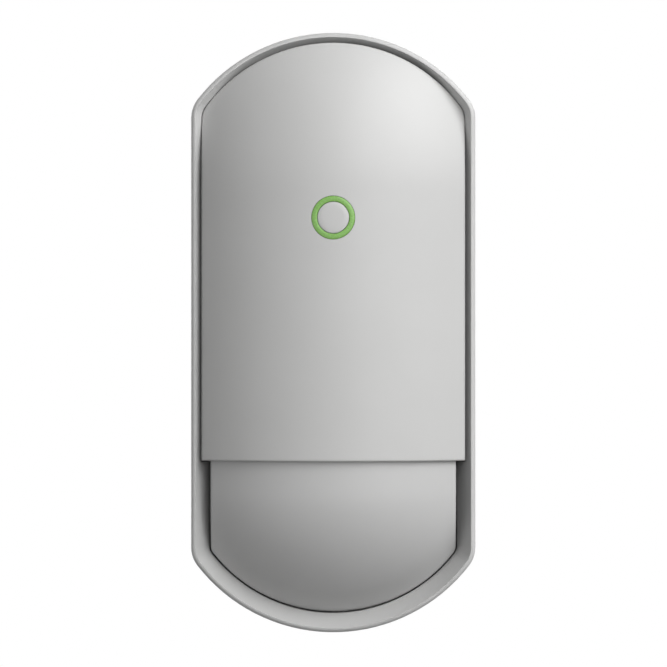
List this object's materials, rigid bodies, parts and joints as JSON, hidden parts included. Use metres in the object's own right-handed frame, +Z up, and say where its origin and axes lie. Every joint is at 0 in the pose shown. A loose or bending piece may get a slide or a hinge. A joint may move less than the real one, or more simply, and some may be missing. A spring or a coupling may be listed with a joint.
{
  "type": "pir motion detector",
  "caption": "Wall-mounted passive infra-red motion detector: tall body with arched ends, convex front panel, curved lens window, hinged cover, board with sensor.",
  "frame": {"origin": "centre of the wall face of the rear housing", "axes": "+Z up the tall side, +Y into the wall, -Y out through the front, +X to the viewer's right"},
  "size_m": [0.06, 0.045, 0.1264],
  "materials": {
    "housing_plastic": "moulded, fine texture",
    "frame_plastic": "satin silver-grey",
    "panel_plastic": "satin silver-grey",
    "window_plastic": "satin silver-grey, passes infra-red",
    "green_light_guide": "translucent green",
    "lens_plastic": "milky thin sheet",
    "seal_rubber": "soft",
    "retainer_plastic": "moulded",
    "zinc_steel": "zinc plated",
    "pin_steel": "drawn wire",
    "board_laminate": "green solder resist",
    "can_metal": "nickel plated",
    "filter_glass": "dark infra-red filter",
    "lead_wire": "tinned",
    "black_plastic": "moulded",
    "terminal_plastic": "moulded",
    "clamp_metal": "nickel plated",
    "relay_plastic": "moulded",
    "chip_plastic": "moulded",
    "capacitor_metal": "satin",
    "chip_ceramic": "fired",
    "switch_plastic": "moulded red",
    "trimmer_plastic": "moulded blue",
    "rotor_plastic": "moulded white",
    "plunger_plastic": "moulded white",
    "lamp_resin": "tinted resin",
    "slider_plastic": "moulded white"
  },
  "bodies": {
    "base": {"rear_housing": "housing_plastic", "hinge_pin": "pin_steel", "cover_screw": "zinc_steel", "circuit_board": "board_laminate", "board_screws": "zinc_steel", "sensor_can": "can_metal", "sensor_filter": "filter_glass", "sensor_leads": "lead_wire", "sensor_shroud": "black_plastic", "terminal_block": "terminal_plastic", "terminal_clamps": "clamp_metal", "terminal_screws": "zinc_steel", "alarm_relay": "relay_plastic", "control_chip": "chip_plastic", "chip_leads": "lead_wire", "filter_capacitors": "capacitor_metal", "chip_resistors": "chip_plastic", "chip_capacitors": "chip_ceramic", "voltage_regulator": "chip_plastic", "dip_housing": "switch_plastic", "trimmer_housing": "trimmer_plastic", "tamper_housing": "black_plastic", "walk_test_lamp": "lamp_resin"},
    "cover": {"front_frame": "frame_plastic", "front_panel": "panel_plastic", "light_ring": "green_light_guide", "ring_insert": "panel_plastic", "lens_window": "window_plastic", "window_seal": "seal_rubber", "fresnel_lens": "lens_plastic", "lens_retainer": "retainer_plastic", "retainer_screws": "zinc_steel"},
    "tamper_plunger": {"tamper_plunger": "plunger_plastic"},
    "trimmer_rotor": {"trimmer_rotor": "rotor_plastic"},
    "dip_slider_1": {"dip_slider_1": "slider_plastic"},
    "dip_slider_2": {"dip_slider_2": "slider_plastic"},
    "dip_slider_3": {"dip_slider_3": "slider_plastic"}
  },
  "joints": [
    {"name": "cover_open", "type": "hinge", "parent": "base", "child": "cover", "pos_m": [0, -0.015, 0.0611], "axis": [-1, 0, 0], "range_deg": [0, 65]},
    {"name": "tamper_press", "type": "slide", "parent": "base", "child": "tamper_plunger", "axis": [0, -1, 0], "range_m": [0, 0.0012]},
    {"name": "sensitivity_turn", "type": "hinge", "parent": "base", "child": "trimmer_rotor", "pos_m": [0.016, -0.016, -0.009], "axis": [0, -1, 0], "range_deg": [-130, 130]},
    {"name": "dip_slide_1", "type": "slide", "parent": "base", "child": "dip_slider_1", "axis": [0, 0, 1], "range_m": [0, 0.0014]},
    {"name": "dip_slide_2", "type": "slide", "parent": "base", "child": "dip_slider_2", "axis": [0, 0, 1], "range_m": [0, 0.0014]},
    {"name": "dip_slide_3", "type": "slide", "parent": "base", "child": "dip_slider_3", "axis": [0, 0, 1], "range_m": [0, 0.0014]}
  ],
  "couplings": [
    {"joint": "tamper_press", "follows": "cover_open", "m_per_rad": 0.00105}
  ]
}
